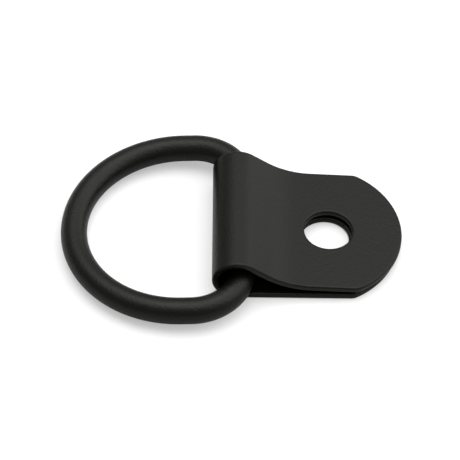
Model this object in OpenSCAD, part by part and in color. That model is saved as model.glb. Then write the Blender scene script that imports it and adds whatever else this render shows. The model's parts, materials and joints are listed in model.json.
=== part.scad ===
// D-ring cable hook: a bent-rod D-ring, loose in the barrel of a folded sheet clip.
//
// Frame: the origin is on the axis of the screw hole, in the face that lies against
// the surface the hook is screwed to. +Z points away from that surface, +X runs along
// the clip to its rounded tip, and the ring lies towards -X with its leg along Y.

/* [Clip sheet] */
// Thickness of the coated sheet
sheet_t = 0.9; // [0.6:0.05:1.4]
// Width of the strap
strap_w = 20.8; // [14:0.1:22]

/* [Screw hole] */
// Diameter of the screw hole through both plies
hole_d = 6.6; // [3.2:0.1:8.4]

/* [Clip tip] */
// Distance from the middle of the screw hole to the rounded end of the upper ply
tip_reach = 10.3; // [8:0.1:14]
// How far the lower ply ends short of the upper one, as the strap was folded
fold_mismatch = 0.42; // [0:0.02:0.6]
// Radius of the rounded end
tip_r = 11.8; // [11.5:0.1:16]
// Radius of the corners between the rounded end and the straight sides
tip_corner_r = 1.8; // [0.6:0.1:3]
// Gap left between the two plies where they close at the tip
tip_gap = 0.05; // [0.04:0.01:0.3]
// How far the upper ply springs open from the lower one, in degrees
spring_open = 2.8; // [1:0.1:5]

/* [Barrel and neck] */
// Distance from the screw hole to the middle of the barrel
barrel_x = 12.16; // [11:0.02:16]
// Play of the ring's leg in the bore of the barrel, over both sides
rod_play = 1.4; // [0.6:0.1:2]
// Slope of the neck between the barrel and the upper ply, in degrees
neck_slope = 36.6; // [30:0.2:45]
// Radius of the bend that turns the neck into the upper ply, on its hollow side
neck_r = 11; // [3:0.5:12]

/* [Ring] */
// Diameter of the coated rod
rod_d = 3.6; // [2.4:0.1:4.2]
// Free length of the ring's eye, from the leg to the top of the bow
eye_l = 19.4; // [18:0.1:30]
// Free gap between the side of the strap and the inside of the eye
side_gap = 2.6; // [1.5:0.1:5]
// Inside radius of the two corners where the leg turns into the bow
eye_corner_r = 5; // [3:0.1:5.6]
// Gap under the leg, between it and the lower ply
leg_gap = 0.1; // [0.05:0.01:0.2]
// How far the leg has slid from the barrel's middle towards the neck, as a share of its play
leg_slide = 0.5; // [0:0.02:0.9]

/* [Hidden] */
$fn = 96;

coat_black = [0.13, 0.13, 0.13];

// The rod's centre line: its bow, its two corners and the half length of its leg
rod_r = rod_d / 2;
bow_r = strap_w / 2 + side_gap + rod_r;
corner_r = eye_corner_r + rod_r;
leg_half = bow_r - corner_r;
ring_l = eye_l + rod_d;
side_l = ring_l - bow_r - corner_r;

// The barrel, which stands on the mounting face
bore_r = (rod_d + rod_play) / 2;
barrel_r = bore_r + sheet_t;
barrel_mid = [-barrel_x, barrel_r];

// The leg lies low in the barrel, and the top of the bow comes down to the mounting face
leg_x = -barrel_x + leg_slide * rod_play;
leg_z = sheet_t + leg_gap + rod_r;
ring_droop = asin((leg_z - rod_r) / ring_l);

// Height of the upper ply's face at the tip
tip_z = 2 * sheet_t + tip_gap;

// Middles of the upper ply's rounded end and of its two corners
end_x = tip_reach - tip_r;
end_corner_y = strap_w / 2 - tip_corner_r;
end_corner_x = end_x + sqrt(pow(tip_r - tip_corner_r, 2) - pow(end_corner_y, 2));
end_turn = atan2(end_corner_y, end_corner_x - end_x);

// Side view, in X and Z. The neck leaves the barrel along one line and the upper ply
// comes down to the tip along another. The bend between them touches both.
function outward(slope) = [sin(slope), cos(slope)];
function crossing(n, c, m, d) =
    [c * m[1] - d * n[1], d * n[0] - c * m[0]] / (n[0] * m[1] - n[1] * m[0]);

neck_n = outward(neck_slope);
ply_n = outward(spring_open);
bend_mid = crossing(
    neck_n, neck_n * barrel_mid + barrel_r + neck_r,
    ply_n, ply_n * [tip_reach, tip_z] + neck_r
);

// Steps in that bend
bend_steps = 12;
// The neck lies this little inside its tangent to the barrel, so that the two cross cleanly
nip = 0.001;
// How far a cut runs past the sheet that it goes through
over = 1;
// The strip is drawn to here, and its end is then trimmed to shape
past_x = tip_reach + over;
// Longer than anything that it cuts
far = 60;

// One face of the strip in side view, depth under its upper face: along the neck, round
// the bend and along the upper ply, to a little past the tip
function strip_face(depth) = concat(
    [barrel_mid + (barrel_r - nip - depth) * neck_n],
    [
        for (i = [0 : bend_steps])
            let (slope = neck_slope + (spring_open - neck_slope) * i / bend_steps)
                bend_mid - (neck_r + depth) * outward(slope)
    ],
    [[past_x, (ply_n * [tip_reach, tip_z] - depth - ply_n[0] * past_x) / ply_n[1]]]
);

// A side view's outline, stood up across the strap and running past each side by a margin
module across(margin) {
    depth = strap_w + 2 * margin;
    translate([0, depth / 2, 0]) rotate([90, 0, 0]) linear_extrude(depth) children();
}

// What one face of the folded strip encloses: a round of the barrel and all under the neck
// and the upper ply, down to the lower ply's face at the same depth
module enclosed(depth, margin) {
    across(margin) translate(barrel_mid) circle(barrel_r - depth);
    across(margin) polygon(concat([barrel_mid], strip_face(depth), [[past_x, depth], [-barrel_x, depth]]));
}

// The outline of the upper ply from its screw hole on: straight sides, rounded corners and
// a rounded end
module ply_end() {
    translate([0, -strap_w / 2]) square([end_corner_x, strap_w]);
    for (side = [-1, 1]) translate([end_corner_x, side * end_corner_y]) circle(tip_corner_r);
    translate([end_x, 0]) intersection() {
        circle(tip_r);
        polygon([
            [0, 0],
            far * [cos(end_turn), -sin(end_turn)],
            [far, 0],
            far * [cos(end_turn), sin(end_turn)]
        ]);
    }
}

// What is trimmed off round the end of one ply, between two heights
module end_waste(z0, z1) {
    translate([0, 0, z0]) linear_extrude(z1 - z0) {
        difference() {
            translate([end_corner_x, -strap_w]) square([far, 2 * strap_w]);
            ply_end();
        }
    }
}

// The clip, one strap of sheet folded back on itself round the ring's leg
module folded_clip() {
    parting = sheet_t + tip_gap / 2;
    color(coat_black) difference() {
        enclosed(0, 0);
        enclosed(sheet_t, over);
        translate([-fold_mismatch, 0, 0]) end_waste(-over, parting);
        end_waste(parting, 2 * barrel_r);
        translate([0, 0, -over]) cylinder(d = hole_d, h = 2 * barrel_r);
    }
}

// A bend of the rod, a part turn about Z with its middle at the origin
module rod_bend(radius, from, turn) {
    rotate(from) rotate_extrude(angle = turn) translate([radius, 0]) circle(rod_r);
}

// A straight stretch of the rod, from a point and aimed by an angle from +X
module rod_straight(start, length, aim) {
    translate(start) rotate([0, 0, aim]) rotate([0, 90, 0]) cylinder(r = rod_r, h = length);
}

// The ring flat in its own plane, its leg along Y through the origin and its bow to -X
module flat_ring() {
    rod_straight([0, -leg_half, 0], 2 * leg_half, 90);
    for (side = [0, 1]) mirror([0, side, 0]) {
        translate([-corner_r, leg_half, 0]) rod_bend(corner_r, 0, 90);
        rod_straight([-corner_r, bow_r, 0], side_l, 180);
    }
    translate([-corner_r - side_l, 0, 0]) rod_bend(bow_r, 90, 180);
}

// The D-ring, one bent rod, closed in its leg where the barrel hides the joint
module d_ring() {
    color(coat_black) translate([leg_x, 0, leg_z]) rotate([0, -ring_droop, 0]) flat_ring();
}

folded_clip();
d_ring();
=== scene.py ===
"""A D-ring cable hook, dressed for its picture.

One strap of coated sheet is folded back on itself round the straight leg of a bent-rod
D-ring. The strap is cut flat, as a blank with two screw holes and two rounded ends, and a
Geometry Nodes tree folds it. A second tree bends the rod. Both take their places from the
CAD frame, in metres.
"""

import json
import logging
import math
from collections.abc import Mapping, Sequence
from dataclasses import dataclass, field
from enum import Enum
from typing import Any, Union

import bmesh
import bpy
from mathutils import Matrix, Vector


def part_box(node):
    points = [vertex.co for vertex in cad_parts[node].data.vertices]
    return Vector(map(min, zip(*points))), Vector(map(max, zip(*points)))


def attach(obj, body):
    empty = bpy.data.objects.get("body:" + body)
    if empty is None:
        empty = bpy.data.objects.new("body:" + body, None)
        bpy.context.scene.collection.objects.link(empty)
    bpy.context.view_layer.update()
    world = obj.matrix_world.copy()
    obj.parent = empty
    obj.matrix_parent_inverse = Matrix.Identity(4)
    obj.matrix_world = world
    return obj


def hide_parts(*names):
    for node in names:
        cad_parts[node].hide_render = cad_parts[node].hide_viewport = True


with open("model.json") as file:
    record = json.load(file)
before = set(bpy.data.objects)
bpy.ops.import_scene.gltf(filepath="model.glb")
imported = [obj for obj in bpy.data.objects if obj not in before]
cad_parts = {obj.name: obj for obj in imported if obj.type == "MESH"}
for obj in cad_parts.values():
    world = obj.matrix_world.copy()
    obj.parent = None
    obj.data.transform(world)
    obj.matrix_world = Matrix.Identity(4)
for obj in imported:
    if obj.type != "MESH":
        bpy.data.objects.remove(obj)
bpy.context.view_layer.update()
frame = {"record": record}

MM = 0.001

# Points closer together than this are one
WELD = 0.0002 * MM

# How finely the strap is cut, across it and round the free edge of each ply
ACROSS_STEPS = 52
SIDE_STEPS = 26
CORNER_STEPS = 10
TIP_STEPS = 84
EDGE_ROUND_STEPS = 5
# How finely it is cut from a screw hole out to the border of its ply's end
HOLE_TO_BORDER_STEPS = 18
NEAR_HOLE_SHARE = 0.015
NEAR_BORDER_SHARE = 0.985
# Widths of the narrow rows beside its edges, and of the rows that bend
EDGE_ROW = 0.12 * MM
BEND_ROW = 0.18 * MM

# How finely the rod is cut, round each of its bends, along it and round it
ROD_BEND_STEPS = 96
ROD_ROWS = 280
ROD_SIDES = 56

BLACK = (0.0, 0.0, 0.0, 1.0)
WHITE = (1.0, 1.0, 1.0, 1.0)

# A colour Mix node has its two colours here, and its result
MIX_A, MIX_B, MIX_RESULT = 6, 7, 2

log = logging.getLogger("cable_hook")


class Body(Enum):
    """The two bodies of the hook that move against each other."""

    CLIP = "clip"
    RING = "ring"


class Node(Enum):
    """The CAD nodes that the two pieces stand for."""

    CLIP = "folded_clip"
    RING = "d_ring"


class Slot(Enum):
    """The record's material slots."""

    SHEET = "coated_sheet"
    ROD = "coated_rod"


class Ply(Enum):
    """The strap's two ends, and which way each runs along the blank from the barrel."""

    LOWER = -1
    UPPER = 1


Number = Union[int, float]
Point = tuple[float, float]


# ---------------------------------------------------------------- node trees


@dataclass(frozen=True)
class Signal:
    """One socket, which sums and products can be written with."""

    graph: "Graph"
    socket: bpy.types.NodeSocket

    def __add__(self, other: "Signal | Number") -> "Signal":
        """self + other."""
        return self.graph.math("ADD", self, other)

    def __radd__(self, other: Number) -> "Signal":
        """other + self."""
        return self.graph.math("ADD", other, self)

    def __sub__(self, other: "Signal | Number") -> "Signal":
        """self - other."""
        return self.graph.math("SUBTRACT", self, other)

    def __rsub__(self, other: Number) -> "Signal":
        """other - self."""
        return self.graph.math("SUBTRACT", other, self)

    def __mul__(self, other: "Signal | Number") -> "Signal":
        """self * other."""
        return self.graph.math("MULTIPLY", self, other)

    def __rmul__(self, other: Number) -> "Signal":
        """other * self."""
        return self.graph.math("MULTIPLY", other, self)

    def __truediv__(self, other: "Signal | Number") -> "Signal":
        """self / other."""
        return self.graph.math("DIVIDE", self, other)

    def __neg__(self) -> "Signal":
        """0 - self."""
        return self.graph.math("SUBTRACT", 0.0, self)

    def at_least(self, low: "Signal | Number") -> "Signal":
        """self, held at or above low."""
        return self.graph.math("MAXIMUM", self, low)

    def at_most(self, high: "Signal | Number") -> "Signal":
        """self, held at or below high."""
        return self.graph.math("MINIMUM", self, high)

    def above(self, mark: "Signal | Number") -> "Signal":
        """1 where self is above mark, and 0 elsewhere."""
        return self.graph.math("GREATER_THAN", self, mark)

    def sin(self) -> "Signal":
        """Its sine."""
        return self.graph.math("SINE", self)

    def cos(self) -> "Signal":
        """Its cosine."""
        return self.graph.math("COSINE", self)

    def to_the(self, power: "Signal | Number") -> "Signal":
        """self, raised to a power."""
        return self.graph.math("POWER", self, power)


@dataclass(frozen=True)
class Graph:
    """A node tree while it is being wired up."""

    tree: bpy.types.NodeTree

    def node(
        self,
        kind: str,
        settings: Mapping[str, Any] | None = None,
        sockets: Mapping[str | int, Any] | None = None,
    ) -> bpy.types.Node:
        """Adds one node.

        Args:
            kind: the node's type name.
            settings: its own settings, which are made first.
            sockets: what goes into its sockets, by name or place: values, sockets or signals.

        Returns:
            The new node.
        """
        made = self.tree.nodes.new(kind)
        for name, setting in (settings or {}).items():
            setattr(made, name, setting)
        for name, given in (sockets or {}).items():
            into = made.inputs[name]
            if isinstance(given, Signal):
                self.tree.links.new(given.socket, into)
            elif isinstance(given, bpy.types.NodeSocket):
                self.tree.links.new(given, into)
            else:
                into.default_value = given
        return made

    def math(self, operation: str, *terms: Signal | Number) -> Signal:
        """One Math node.

        Args:
            operation: the node's operation.
            terms: its inputs, in order.

        Returns:
            Its result.
        """
        made = self.node("ShaderNodeMath", {"operation": operation}, dict(enumerate(terms)))
        return Signal(self, made.outputs[0])

    def signal(self, node: bpy.types.Node, output: str | int = 0) -> Signal:
        """One output of a node, as a signal."""
        return Signal(self, node.outputs[output])


@dataclass(frozen=True)
class ShapeTree:
    """A Geometry Nodes tree with named sizes, and the piece that it makes."""

    graph: Graph
    start: bpy.types.Node
    sizes: Mapping[str, float]

    @classmethod
    def named(cls, name: str, sizes: Mapping[str, float]) -> "ShapeTree":
        """Starts a tree.

        Args:
            name: the tree's name.
            sizes: its named inputs and their values.

        Returns:
            The tree, with its inputs in place and no output yet.
        """
        tree = bpy.data.node_groups.new(name, "GeometryNodeTree")
        tree.interface.new_socket("Geometry", in_out="INPUT", socket_type="NodeSocketGeometry")
        for size in sizes:
            tree.interface.new_socket(size, in_out="INPUT", socket_type="NodeSocketFloat")
        tree.interface.new_socket("Geometry", in_out="OUTPUT", socket_type="NodeSocketGeometry")
        return cls(Graph(tree), tree.nodes.new("NodeGroupInput"), dict(sizes))

    def given(self, size: str) -> Signal:
        """The input of that name."""
        return self.graph.signal(self.start, size)

    def finish(self, shape: bpy.types.NodeSocket, finish: bpy.types.Material) -> None:
        """Ends the tree: smooth faces, real instances, one material.

        Args:
            shape: the geometry to put out.
            finish: the material of all its faces.
        """
        smooth = self.graph.node("GeometryNodeSetShadeSmooth", sockets={"Geometry": shape})
        real = self.graph.node(
            "GeometryNodeRealizeInstances", sockets={"Geometry": smooth.outputs[0]}
        )
        coated = self.graph.node(
            "GeometryNodeSetMaterial", sockets={"Geometry": real.outputs[0], "Material": finish}
        )
        self.graph.node("NodeGroupOutput", sockets={"Geometry": coated.outputs[0]})

    def shape(self, name: str, blank: bpy.types.Mesh) -> bpy.types.Object:
        """Runs the tree on a blank and keeps the result as a plain mesh.

        Args:
            name: the piece's name.
            blank: the mesh that goes into the tree.

        Returns:
            The finished piece, at the origin, with no modifier left.
        """
        piece = bpy.data.objects.new(name, blank)
        bpy.context.scene.collection.objects.link(piece)
        modifier = piece.modifiers.new("shape", "NODES")
        modifier.node_group = self.graph.tree
        for item in self.graph.tree.interface.items_tree:
            if item.in_out == "INPUT" and item.name in self.sizes:
                modifier[item.identifier] = self.sizes[item.name]
        made = piece.evaluated_get(bpy.context.evaluated_depsgraph_get())
        mesh = bpy.data.meshes.new_from_object(made)
        piece.modifiers.remove(modifier)
        piece.data = mesh
        mesh.name = name
        face_outwards(mesh)
        return piece


def face_outwards(mesh: bpy.types.Mesh) -> None:
    """Welds a closed mesh's seams and turns its faces outwards.

    Args:
        mesh: the mesh to mend in place.
    """
    shell = bmesh.new()
    shell.from_mesh(mesh)
    bmesh.ops.remove_doubles(shell, verts=shell.verts, dist=WELD)
    bmesh.ops.recalc_face_normals(shell, faces=shell.faces)
    shell.to_mesh(mesh)
    shell.free()


# ---------------------------------------------------------------- finish


@dataclass(frozen=True)
class PowderCoat:
    """A matte powder coat with a fine grain.

    Lengths are in metres: grain and mottle are the sizes of its bumps and of its cloudy
    patches, and relief is how high the grain stands. The specks between the bumps are a
    share of their size and height. The two last numbers say how far the patches and the
    specks change the roughness.
    """

    name: str
    shade: tuple[float, float, float] = (0.0026, 0.0026, 0.0015)
    roughness: float = 0.34
    gloss: float = 0.2
    grain: float = 0.36 * MM
    relief: float = 0.05 * MM
    mottle: float = 3.5 * MM
    unevenness: float = 0.3
    mottle_octaves: float = 2.0
    grain_octaves: float = 3.0
    speck_size: float = 0.6
    speck_height: float = 0.5
    cloud_roughness: float = 0.1
    speck_roughness: float = 0.06

    def material(self) -> bpy.types.Material:
        """Builds the material.

        Returns:
            The finished material.
        """
        made = bpy.data.materials.new(self.name)
        made.use_nodes = True
        made.node_tree.nodes.clear()
        graph = Graph(made.node_tree)
        place = graph.node("ShaderNodeTexCoord").outputs["Object"]
        cloud = self._noise(graph, place, self.mottle, self.mottle_octaves)
        grain = self._noise(graph, place, self.grain, self.grain_octaves)
        speck = self._noise(graph, place, self.grain * self.speck_size, 1.0)
        bump = graph.node(
            "ShaderNodeBump",
            sockets={
                "Strength": 1.0,
                "Distance": self.relief,
                "Height": grain + self.speck_height * speck,
            },
        )
        shade = graph.node(
            "ShaderNodeMix",
            {"data_type": "RGBA"},
            {
                "Factor": 0.5 * cloud + 0.5 * speck,
                MIX_A: self._tint(1.0 - self.unevenness),
                MIX_B: self._tint(1.0 + self.unevenness),
            },
        )
        coat = graph.node(
            "ShaderNodeBsdfPrincipled",
            sockets={
                "Base Color": shade.outputs[MIX_RESULT],
                "Roughness": self.roughness
                + self.cloud_roughness * (cloud - 0.5)
                + self.speck_roughness * (speck - 0.5),
                "Normal": bump.outputs[0],
                "Specular IOR Level": self.gloss,
            },
        )
        graph.node("ShaderNodeOutputMaterial", sockets={"Surface": coat.outputs[0]})
        return made

    @staticmethod
    def _noise(graph: Graph, place: bpy.types.NodeSocket, size: float, detail: float) -> Signal:
        """A noise of one feature size.

        Args:
            graph: the material's tree.
            place: the coordinates to read.
            size: the size of its features, in metres.
            detail: its octaves.

        Returns:
            Its value, about 0 to 1.
        """
        noise = graph.node(
            "ShaderNodeTexNoise",
            {"noise_dimensions": "3D"},
            {"Vector": place, "Scale": 1.0 / size, "Detail": detail, "Roughness": 0.5},
        )
        return graph.signal(noise, 0)

    def _tint(self, strength: float) -> tuple[float, float, float, float]:
        """The coat's colour, times a strength."""
        red, green, blue = self.shade
        return (red * strength, green * strength, blue * strength, 1.0)


# ---------------------------------------------------------------- folded clip


@dataclass
class Skin:
    """Collects rows of points into a skin of quads."""

    points: list[Vector] = field(default_factory=list)
    faces: list[tuple[int, int, int, int]] = field(default_factory=list)

    def lay(self, rows: Sequence[Sequence[Vector]], ring: bool = False) -> None:
        """Lays quads between rows of as many points each.

        Args:
            rows: the rows, in order.
            ring: whether each row closes on itself.
        """
        across = len(rows[0])
        start = len(self.points)
        for row in rows:
            self.points.extend(row)
        for i in range(len(rows) - 1):
            for j in range(across if ring else across - 1):
                k = (j + 1) % across
                near, far = start + i * across, start + (i + 1) * across
                self.faces.append((near + j, near + k, far + k, far + j))

    def mesh(self, name: str) -> bpy.types.Mesh:
        """Welds the skin.

        Args:
            name: the mesh's name.

        Returns:
            The mesh, closed and with its faces outwards.
        """
        mesh = bpy.data.meshes.new(name)
        mesh.from_pydata([tuple(p) for p in self.points], [], self.faces)
        face_outwards(mesh)
        return mesh


@dataclass(frozen=True)
class FoldedClip:
    """The strap of sheet: two plies with a screw hole and a rounded end each, and a barrel.

    On the blank, u runs along the strap from where the lower ply meets the barrel, v runs
    across it and w through the sheet, to the face that ends up outside the fold.
    """

    barrel_x: float
    barrel_r: float
    half_w: float
    tip_reach: float
    hole_r: float
    sheet: float = 0.9 * MM
    hole_slip: float = 0.21 * MM
    fold_mismatch: float = 0.42 * MM
    tip_r: float = 11.8 * MM
    tip_corner_r: float = 1.8 * MM
    tip_gap: float = 0.05 * MM
    spring_open: float = math.radians(2.8)
    neck_slope: float = math.radians(36.6)
    neck_r: float = 11.0 * MM
    edge_r: float = 0.28 * MM
    patch_reach: float = 5.2 * MM

    @classmethod
    def from_frame(cls) -> "FoldedClip":
        """The clip, with its place and outer sizes read from the CAD frame.

        Returns:
            The clip.
        """
        low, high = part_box(Node.CLIP.value)
        mounts = {mount["name"]: mount for mount in frame["record"]["mounts"]}
        barrel_r = high.z / 2
        return cls(
            barrel_x=low.x + barrel_r,
            barrel_r=barrel_r,
            half_w=high.y,
            tip_reach=high.x,
            hole_r=mounts["screw_hole"]["dims"]["r_mm"] * MM,
        )

    @property
    def barrel_mid_r(self) -> float:
        """Radius of the barrel, at the middle of the sheet."""
        return self.barrel_r - self.sheet / 2

    @property
    def bend_mid_r(self) -> float:
        """Radius of the neck's bend, at the middle of the sheet."""
        return self.neck_r + self.sheet / 2

    @property
    def barrel_turn(self) -> float:
        """How far the strap turns round the barrel."""
        return math.pi + self.neck_slope

    @property
    def bend_turn(self) -> float:
        """How far the strap turns back at the neck."""
        return self.neck_slope - self.spring_open

    def neck_length(self) -> float:
        """Length of the straight neck that brings the upper ply down to the tip's height.

        Returns:
            The length, in metres.
        """
        middle_x, middle_z = self.barrel_x, self.barrel_r
        tip_x = self.tip_reach
        tip_z = 2 * self.sheet + self.tip_gap
        slope, rest = self.neck_slope, self.spring_open
        # Heights above the upper ply's plane, of the barrel's tangent point and of the bend
        start_x = middle_x + self.barrel_r * math.sin(slope)
        start_z = middle_z + self.barrel_r * math.cos(slope)
        above = (start_x - tip_x) * math.sin(rest) + (start_z - tip_z) * math.cos(rest)
        bend_drop = self.neck_r * (1 - math.cos(self.bend_turn))
        return (above - bend_drop) / math.sin(self.bend_turn)

    def along(self, ply: Ply, x: float) -> float:
        """Where on the blank a point of a flat ply's middle lies.

        Args:
            ply: which ply.
            x: the point's place along the clip.

        Returns:
            Its u, in metres.
        """
        if ply is Ply.LOWER:
            return self.barrel_x - x
        neck = self.neck_length()
        middle = self.barrel_r - self.sheet / 2
        bend_x = (
            self.barrel_x
            + middle * math.sin(self.neck_slope)
            + neck * math.cos(self.neck_slope)
            + self.bend_mid_r * (math.sin(self.neck_slope) - math.sin(self.spring_open))
        )
        return self.bend_end() + (x - bend_x) / math.cos(self.spring_open)

    def bend_end(self) -> float:
        """Where on the blank the neck's bend ends."""
        barrel = self.barrel_mid_r * self.barrel_turn
        return barrel + self.neck_length() + self.bend_mid_r * self.bend_turn

    def edge_profile(self) -> list[tuple[float, float]]:
        """The rounded edge of the sheet, from its outer face to its inner face.

        Returns:
            (inset, height) pairs.
        """
        half, radius, steps = self.sheet / 2, self.edge_r, EDGE_ROUND_STEPS
        quarter = [
            (radius * (1 - math.sin(a)), half - radius * (1 - math.cos(a)))
            for a in (math.pi / 2 * i / steps for i in range(steps + 1))
        ]
        return quarter + [(inset, -height) for inset, height in reversed(quarter)]

    def across_places(self) -> list[float]:
        """Finds the places across the flat of the strap, finer beside its two edges.

        Returns:
            The places, in metres from its middle.
        """
        flat = self.half_w - self.edge_r
        inner_half, steps = flat - EDGE_ROW, ACROSS_STEPS
        inner = [inner_half * (2 * i / steps - 1) for i in range(steps + 1)]
        return [-flat, *inner, flat]

    def free_edge(self, inset: float, reach: float) -> list[Point]:
        """The free edge of one ply from its far side round the tip to its near side.

        Args:
            inset: how far inside the true edge.
            reach: from the screw hole to the rounded end.

        Returns:
            (along, across) points, measured from the ply's screw hole.
        """
        half = self.half_w
        tip_mid = reach - self.tip_r
        corner_y = half - self.tip_corner_r
        corner_x = tip_mid + math.sqrt((self.tip_r - self.tip_corner_r) ** 2 - corner_y**2)
        turn = math.atan2(corner_y, corner_x - tip_mid)
        side = [
            (-self.patch_reach + (corner_x + self.patch_reach) * i / SIDE_STEPS, half - inset)
            for i in range(SIDE_STEPS)
        ]
        corner = [
            (
                corner_x + (self.tip_corner_r - inset) * math.cos(a),
                corner_y + (self.tip_corner_r - inset) * math.sin(a),
            )
            for a in (
                math.pi / 2 + (turn - math.pi / 2) * i / CORNER_STEPS for i in range(CORNER_STEPS)
            )
        ]
        tip = [
            (
                tip_mid + (self.tip_r - inset) * math.cos(a),
                (self.tip_r - inset) * math.sin(a),
            )
            for a in (turn * (1 - 2 * i / TIP_STEPS) for i in range(TIP_STEPS + 1))
        ]
        back = [(x, -y) for x, y in reversed(side + corner)]
        return side + corner + tip + back

    def lay_end(self, skin: Skin, ply: Ply, hole: float, reach: float) -> None:
        """Lays one ply's end: its two faces, its free edge and its screw hole.

        Args:
            skin: the skin to add to.
            ply: which ply.
            hole: the hole's place along the blank.
            reach: from the screw hole to the rounded end.
        """

        def on_blank(spot: Point, height: float) -> Vector:
            """A spot measured from the hole, placed on the blank."""
            return Vector((hole + ply.value * spot[0], spot[1], height))

        profile = self.edge_profile()
        flat_inset = profile[0][0]
        rim = self.free_edge(flat_inset, reach)
        joint = [(-self.patch_reach, y) for y in self.across_places()]
        border = rim + joint[1:-1]
        turns = [math.atan2(y, x) for x, y in border]
        even = [i / HOLE_TO_BORDER_STEPS for i in range(1, HOLE_TO_BORDER_STEPS)]
        shares = [0.0, NEAR_HOLE_SHARE, *even, NEAR_BORDER_SHARE, 1.0]
        for height in (profile[0][1], profile[-1][1]):
            rows = []
            for share in shares:
                row = []
                for (x, y), turn in zip(border, turns):
                    hole_x = (self.hole_r + flat_inset) * math.cos(turn)
                    hole_y = (self.hole_r + flat_inset) * math.sin(turn)
                    spot = (hole_x + (x - hole_x) * share, hole_y + (y - hole_y) * share)
                    row.append(on_blank(spot, height))
                rows.append(row)
            skin.lay(rows, ring=True)
        skin.lay([[on_blank(s, h) for s in self.free_edge(i, reach)] for i, h in profile])
        skin.lay(
            [
                [
                    on_blank(((self.hole_r + i) * math.cos(t), (self.hole_r + i) * math.sin(t)), h)
                    for t in turns
                ]
                for i, h in profile
            ],
            ring=True,
        )

    def lay_strip(self, skin: Skin, start: float, end: float) -> None:
        """Lays the plain strip between the two ends, round its whole section.

        Args:
            skin: the skin to add to.
            start: its start along the blank.
            end: its end along the blank.
        """
        profile = self.edge_profile()
        half = self.half_w
        flat = self.across_places()
        section = (
            [(v, profile[0][1]) for v in flat[:-1]]
            + [(half - inset, height) for inset, height in profile]
            + [(v, profile[-1][1]) for v in reversed(flat[1:-1])]
            + [(inset - half, height) for inset, height in reversed(profile)][:-1]
        )
        steps = math.ceil((end - start) / BEND_ROW)
        rows = [
            [Vector((start + (end - start) * i / steps, v, w)) for v, w in section]
            for i in range(steps + 1)
        ]
        skin.lay(rows, ring=True)

    def blank(self) -> bpy.types.Mesh:
        """Cuts the flat blank.

        Returns:
            Its mesh, in blank coordinates.
        """
        lower_hole = self.along(Ply.LOWER, -self.hole_slip)
        upper_hole = self.along(Ply.UPPER, self.hole_slip)
        overhang = self.sheet / 2 * math.sin(self.spring_open)
        lower_end = self.along(Ply.LOWER, self.tip_reach - self.fold_mismatch)
        upper_end = self.along(Ply.UPPER, self.tip_reach - overhang)
        skin = Skin()
        self.lay_end(skin, Ply.LOWER, lower_hole, lower_hole - lower_end)
        self.lay_strip(skin, lower_hole + self.patch_reach, upper_hole - self.patch_reach)
        self.lay_end(skin, Ply.UPPER, upper_hole, upper_end - upper_hole)
        return skin.mesh("flat_blank")

    def fold_tree(self, finish: bpy.types.Material) -> ShapeTree:
        """The tree that folds the blank: barrel, neck, bend and upper ply, one after another.

        Args:
            finish: the strap's material.

        Returns:
            The tree.
        """
        shape = ShapeTree.named(
            "fold_strap",
            {
                "Sheet": self.sheet,
                "Barrel X": self.barrel_x,
                "Barrel Radius": self.barrel_r,
                "Barrel Turn": self.barrel_turn,
                "Neck Length": self.neck_length(),
                "Bend Radius": self.neck_r,
                "Bend Turn": self.bend_turn,
            },
        )
        graph = shape.graph
        place = graph.node("GeometryNodeInputPosition").outputs[0]
        split = graph.node("ShaderNodeSeparateXYZ", sockets={0: place})
        u, v, w = (graph.signal(split, axis) for axis in range(3))
        half = shape.given("Sheet") / 2
        barrel_r = shape.given("Barrel Radius") - half
        bend_r = shape.given("Bend Radius") + half
        barrel_end = barrel_r * shape.given("Barrel Turn")
        neck_end = barrel_end + shape.given("Neck Length")
        bend_end = neck_end + bend_r * shape.given("Bend Turn")

        # The lower ply runs to -X, to where the barrel begins
        x = shape.given("Barrel X") - u.at_most(0.0)
        z = half
        # Round the barrel
        turn = u.at_least(0.0).at_most(barrel_end) / barrel_r
        x = x - turn.sin() * barrel_r
        z = z + (1.0 - turn.cos()) * barrel_r
        # Down the neck
        run = u.at_least(barrel_end).at_most(neck_end) - barrel_end
        x = x - turn.cos() * run
        z = z + turn.sin() * run
        # Back round the bend
        facing = turn - (u.at_least(neck_end).at_most(bend_end) - neck_end) / bend_r
        x = x + (facing.sin() - turn.sin()) * bend_r
        z = z + (facing.cos() - turn.cos()) * bend_r
        # Along the upper ply
        run = u.at_least(bend_end) - bend_end
        x = x - facing.cos() * run
        z = z + facing.sin() * run
        # Out through the sheet
        x = x - facing.sin() * w
        z = z - facing.cos() * w

        folded = graph.node("ShaderNodeCombineXYZ", sockets={0: x, 1: v, 2: z})
        moved = graph.node(
            "GeometryNodeSetPosition",
            sockets={"Geometry": shape.start.outputs["Geometry"], "Position": folded.outputs[0]},
        )
        shape.finish(moved.outputs[0], finish)
        return shape

    def build(self, coat: PowderCoat) -> bpy.types.Object:
        """Cuts, folds and dresses the clip, and puts it in the CAD node's place.

        Args:
            coat: its finish.

        Returns:
            The finished piece.
        """
        piece = self.fold_tree(coat.material()).shape("coated_clip", self.blank())
        return seat(piece, Node.CLIP, Body.CLIP)


# ---------------------------------------------------------------- ring


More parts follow.
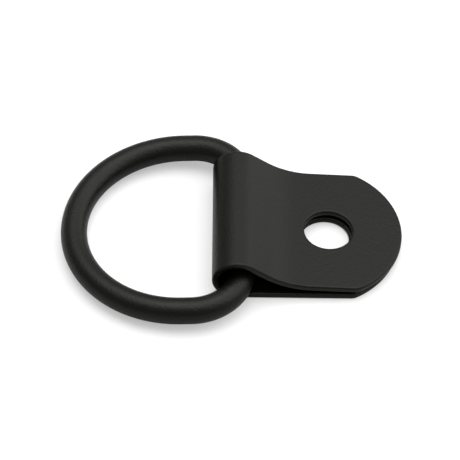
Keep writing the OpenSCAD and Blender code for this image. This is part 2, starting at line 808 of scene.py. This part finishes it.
@dataclass(frozen=True)
class DRing:
    """The D-ring: one rod, bent at two corners beside its leg and round one bow."""

    leg_x: float
    leg_z: float
    rod_r: float
    bow_r: float
    ring_l: float
    corner_r: float = 6.8 * MM

    @classmethod
    def from_frame(cls) -> "DRing":
        """The ring, with its sizes worked out from its box and its hinge.

        Returns:
            The ring.
        """
        low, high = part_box(Node.RING.value)
        leg_x, _, leg_z = frame["record"]["behaviour"]["joints"][0]["pos_m"]
        rod_r = high.z - leg_z
        return cls(
            leg_x=leg_x,
            leg_z=leg_z,
            rod_r=rod_r,
            bow_r=high.y - rod_r,
            ring_l=math.hypot(leg_x - rod_r - low.x, leg_z - rod_r),
        )

    def bend_tree(self, finish: bpy.types.Material) -> ShapeTree:
        """The tree that bends the rod: a rectangle with rounded corners, swept by a circle.

        Args:
            finish: the rod's material.

        Returns:
            The tree.
        """
        shape = ShapeTree.named(
            "bend_rod",
            {
                "Rod Radius": self.rod_r,
                "Ring Length": self.ring_l,
                "Bow Radius": self.bow_r,
                "Corner Radius": self.corner_r,
                "Leg X": self.leg_x,
                "Leg Z": self.leg_z,
                "Droop": math.asin((self.leg_z - self.rod_r) / self.ring_l),
            },
        )
        graph = shape.graph
        length, bow_r = shape.given("Ring Length"), shape.given("Bow Radius")
        frame_line = graph.node(
            "GeometryNodeCurvePrimitiveQuadrilateral",
            {"mode": "RECTANGLE"},
            {"Width": length, "Height": 2.0 * bow_r},
        )
        place = graph.node("GeometryNodeInputPosition").outputs[0]
        along = graph.signal(graph.node("ShaderNodeSeparateXYZ", sockets={0: place}), 0)
        at_leg = along.above(0.0)
        rounded = graph.node(
            "GeometryNodeFilletCurve",
            {"mode": "POLY"},
            {
                "Curve": frame_line.outputs[0],
                "Count": ROD_BEND_STEPS,
                "Radius": bow_r + (shape.given("Corner Radius") - bow_r) * at_leg,
            },
        )
        even = graph.node(
            "GeometryNodeResampleCurve", sockets={"Curve": rounded.outputs[0], "Count": ROD_ROWS}
        )
        section = graph.node(
            "GeometryNodeCurvePrimitiveCircle",
            {"mode": "RADIUS"},
            {"Resolution": ROD_SIDES, "Radius": shape.given("Rod Radius")},
        )
        rod = graph.node(
            "GeometryNodeCurveToMesh",
            sockets={"Curve": even.outputs[0], "Profile Curve": section.outputs[0]},
        )
        to_leg = graph.node("ShaderNodeCombineXYZ", sockets={0: length * -0.5, 1: 0.0, 2: 0.0})
        hung = graph.node(
            "GeometryNodeTransform",
            sockets={"Geometry": rod.outputs[0], "Translation": to_leg.outputs[0]},
        )
        leg = graph.node(
            "ShaderNodeCombineXYZ",
            sockets={0: shape.given("Leg X"), 1: 0.0, 2: shape.given("Leg Z")},
        )
        droop = graph.node(
            "ShaderNodeCombineXYZ", sockets={0: 0.0, 1: -shape.given("Droop"), 2: 0.0}
        )
        placed = graph.node(
            "GeometryNodeTransform",
            sockets={
                "Geometry": hung.outputs[0],
                "Translation": leg.outputs[0],
                "Rotation": droop.outputs[0],
            },
        )
        shape.finish(placed.outputs[0], finish)
        return shape

    def build(self, coat: PowderCoat) -> bpy.types.Object:
        """Bends and dresses the ring, and puts it in the CAD node's place.

        Args:
            coat: its finish.

        Returns:
            The finished piece.
        """
        blank = bpy.data.meshes.new("rod_blank")
        piece = self.bend_tree(coat.material()).shape("coated_ring", blank)
        return seat(piece, Node.RING, Body.RING)


def seat(piece: bpy.types.Object, node: Node, body: Body) -> bpy.types.Object:
    """Puts a piece in a CAD node's place and on its body.

    Args:
        piece: the finished piece.
        node: the CAD node that it stands for.
        body: the body that it moves with.

    Returns:
        The same piece.
    """
    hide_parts(node.value)
    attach(piece, body.value)
    log.info("%s: %d faces, on %s", piece.name, len(piece.data.polygons), body.value)
    return piece


# ---------------------------------------------------------------- studio


@dataclass(frozen=True)
class PaleFloor:
    """A plain white floor that the hook lies on, a little below it."""

    half_size: float = 1.5
    shade: float = 0.56
    roughness: float = 0.9
    lift: float = 0.39
    drop: float = 0.01 * MM

    def build(self) -> bpy.types.Object:
        """Lays the floor.

        Returns:
            The floor.
        """
        reach = self.half_size
        corners = [(-reach, -reach), (reach, -reach), (reach, reach), (-reach, reach)]
        mesh = bpy.data.meshes.new("pale_floor")
        mesh.from_pydata([(x, y, -self.drop) for x, y in corners], [], [(0, 1, 2, 3)])
        mesh.materials.append(self.finish())
        floor = bpy.data.objects.new("pale_floor", mesh)
        bpy.context.scene.collection.objects.link(floor)
        return floor

    def finish(self) -> bpy.types.Material:
        """Makes the floor's paper, which is lifted towards white for the camera alone.

        Returns:
            The material.
        """
        made = bpy.data.materials.new("pale_floor")
        made.use_nodes = True
        made.node_tree.nodes.clear()
        graph = Graph(made.node_tree)
        seen = graph.node("ShaderNodeLightPath").outputs["Is Camera Ray"]
        lift = graph.node(
            "ShaderNodeMix",
            {"data_type": "RGBA"},
            {"Factor": seen, MIX_A: BLACK, MIX_B: WHITE},
        )
        paper = graph.node(
            "ShaderNodeBsdfPrincipled",
            sockets={
                "Base Color": (self.shade, self.shade, self.shade, 1.0),
                "Roughness": self.roughness,
                "Specular IOR Level": 0.0,
                "Emission Color": lift.outputs[MIX_RESULT],
                "Emission Strength": self.lift,
            },
        )
        graph.node("ShaderNodeOutputMaterial", sockets={"Surface": paper.outputs[0]})
        return made


@dataclass(frozen=True)
class SoftGlow:
    """One soft bright part of the dome round the hook, in degrees from the front and up."""

    azimuth: float
    elevation: float
    strength: float
    tightness: float

    @property
    def middle(self) -> Vector:
        """The direction of its middle."""
        turn, rise = math.radians(self.azimuth), math.radians(self.elevation)
        return Vector(
            (math.sin(turn) * math.cos(rise), -math.cos(turn) * math.cos(rise), math.sin(rise))
        )

    def seen_along(self, x: Signal, y: Signal, z: Signal) -> Signal:
        """Its brightness in a direction.

        Args:
            x: the direction's part along X.
            y: its part along Y.
            z: its part along Z.

        Returns:
            The brightness.
        """
        middle = self.middle
        near = (x * middle.x + y * middle.y + z * middle.z) * 0.5 + 0.5
        return near.at_least(0.0).to_the(self.tightness) * self.strength


@dataclass(frozen=True)
class LightDome:
    """The light round the hook: broad soft boxes overhead and behind, and a dim front."""

    backdrop: float = 0.95
    dim: float = 0.36
    glows: tuple[SoftGlow, ...] = (
        SoftGlow(azimuth=139.0, elevation=80.0, strength=2.5, tightness=15.0),
        SoftGlow(azimuth=89.0, elevation=41.0, strength=2.2, tightness=25.0),
        SoftGlow(azimuth=130.0, elevation=25.0, strength=1.45, tightness=22.0),
        SoftGlow(azimuth=212.0, elevation=70.0, strength=2.1, tightness=22.0),
    )

    def build(self) -> bpy.types.World:
        """Lights the dome; straight behind the hook it shows as a plain pale backdrop.

        Returns:
            The world.
        """
        world = bpy.data.worlds.new("light_dome")
        world.use_nodes = True
        world.node_tree.nodes.clear()
        graph = Graph(world.node_tree)
        direction = graph.node("ShaderNodeTexCoord").outputs["Generated"]
        split = graph.node("ShaderNodeSeparateXYZ", sockets={0: direction})
        x, y, z = (graph.signal(split, axis) for axis in range(3))
        light = sum((glow.seen_along(x, y, z) for glow in self.glows), self.dim)
        lit, plain = (
            graph.node("ShaderNodeBackground", sockets={"Color": WHITE, "Strength": strength})
            for strength in (light, self.backdrop)
        )
        seen = graph.node("ShaderNodeLightPath").outputs["Is Camera Ray"]
        both = graph.node(
            "ShaderNodeMixShader", sockets={0: seen, 1: lit.outputs[0], 2: plain.outputs[0]}
        )
        graph.node("ShaderNodeOutputWorld", sockets={"Surface": both.outputs[0]})
        return world


@dataclass(frozen=True)
class Viewpoint:
    """The camera: a long lens that looks down on the hook from in front."""

    aim: tuple[float, float, float] = (-13.15 * MM, 1.82 * MM, 0.0)
    azimuth: float = -0.47
    elevation: float = 48.48
    roll: float = 1.0
    distance: float = 400 * MM
    lens: float = 227.95
    sensor: float = 36.0
    nearest: float = 0.01
    farthest: float = 10.0

    def build(self) -> bpy.types.Object:
        """Sets up the camera and makes it the scene's own.

        Returns:
            The camera.
        """
        turn, rise, tilt = (math.radians(a) for a in (self.azimuth, self.elevation, self.roll))
        back = Vector(
            (math.sin(turn) * math.cos(rise), -math.cos(turn) * math.cos(rise), math.sin(rise))
        )
        level = Vector((math.cos(turn), math.sin(turn), 0.0))
        upright = back.cross(level)
        right = math.cos(tilt) * level + math.sin(tilt) * upright
        axes = Matrix((right, back.cross(right), back)).transposed()
        lens = bpy.data.cameras.new("viewpoint")
        lens.sensor_width = self.sensor
        lens.lens = self.lens
        lens.clip_start, lens.clip_end = self.nearest, self.farthest
        camera = bpy.data.objects.new("viewpoint", lens)
        place = Vector(self.aim) + self.distance * back
        camera.matrix_world = Matrix.Translation(place) @ axes.to_4x4()
        bpy.context.scene.collection.objects.link(camera)
        bpy.context.scene.camera = camera
        return camera


@dataclass(frozen=True)
class Studio:
    """The floor, the dome of light and the camera."""

    floor: PaleFloor = PaleFloor()
    dome: LightDome = LightDome()
    view: Viewpoint = Viewpoint()

    def build(self) -> None:
        """Sets the scene round the hook."""
        scene = bpy.context.scene
        scene.view_settings.view_transform = "Standard"
        scene.world = self.dome.build()
        self.floor.build()
        self.view.build()


def main() -> None:
    """Builds the hook and the studio, one class after another."""
    logging.basicConfig(level=logging.INFO, format="%(name)s: %(message)s")
    FoldedClip.from_frame().build(PowderCoat("coated_sheet"))
    DRing.from_frame().build(PowderCoat("coated_rod"))
    Studio().build()


if __name__ == "__main__":
    main()
